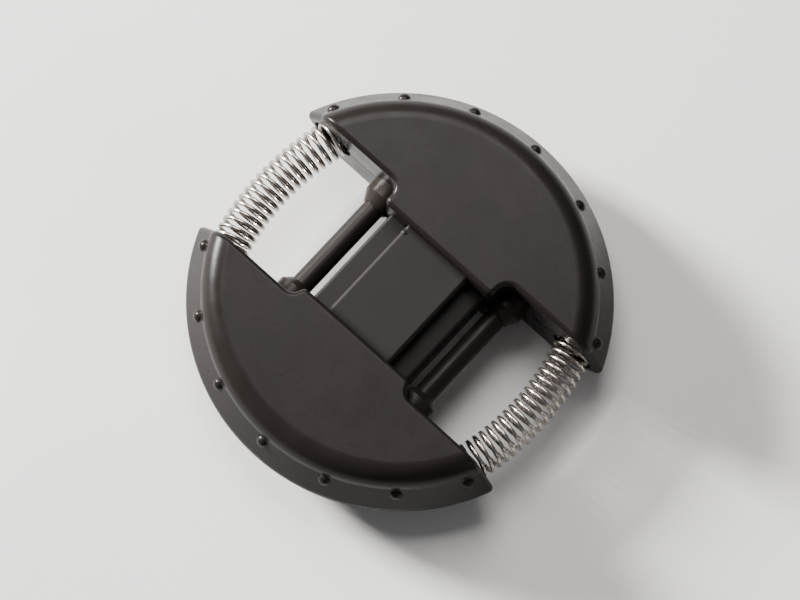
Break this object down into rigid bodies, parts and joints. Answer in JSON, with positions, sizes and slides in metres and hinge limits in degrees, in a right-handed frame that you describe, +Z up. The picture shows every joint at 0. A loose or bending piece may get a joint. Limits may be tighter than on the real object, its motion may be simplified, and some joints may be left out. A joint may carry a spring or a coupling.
{
  "type": "hand grip strengthener",
  "caption": "Round spring hand grip: half-moon palm and finger handles slide together on guide rods and a flat centre slide, opened by coil springs curved along the rim.",
  "frame": {"origin": "centre of the bounding box on the flat back faces that the grip rests on", "axes": "+Y along the guide rods from the finger half to the palm half, +X across the rods towards the right spring, +Z up out of the front face"},
  "size_m": [0.0692, 0.0752, 0.019],
  "materials": {
    "shell": "fine matte moulded plastic, dark brown-black",
    "slide": "fine matte moulded plastic, dark brown-black",
    "rod": "smooth satin plastic, dark brown-black",
    "bushing": "satin plastic, dark brown-black",
    "seat": "plain moulded plastic, near black",
    "screw": "dull zinc-plated steel",
    "spring": "bright nickel-plated spring wire"
  },
  "bodies": {
    "finger_half": {"finger_top_cover": "shell", "finger_back_cover": "shell", "finger_cover_screws": "screw", "centre_slide": "slide", "guide_rod_right": "rod", "guide_rod_left": "rod", "stop_washer_right": "screw", "stop_washer_left": "screw", "stop_screw_right": "screw", "stop_screw_left": "screw", "finger_collar_right": "bushing", "finger_collar_left": "bushing", "finger_spring_seat_right": "seat", "finger_spring_seat_left": "seat", "spring_right": "spring", "spring_left": "spring"},
    "palm_half": {"palm_top_cover": "shell", "palm_back_cover": "shell", "palm_cover_screws": "screw", "palm_bushing_right": "bushing", "palm_bushing_left": "bushing", "palm_spring_seat_right": "seat", "palm_spring_seat_left": "seat"}
  },
  "joints": [
    {"name": "squeeze", "type": "slide", "parent": "finger_half", "child": "palm_half", "axis": [0, -1, 0], "range_m": [0, 0.0135], "stiffness_N_per_m": 1250, "springref_m": -0.005, "deforming": ["spring_right", "spring_left"]}
  ]
}
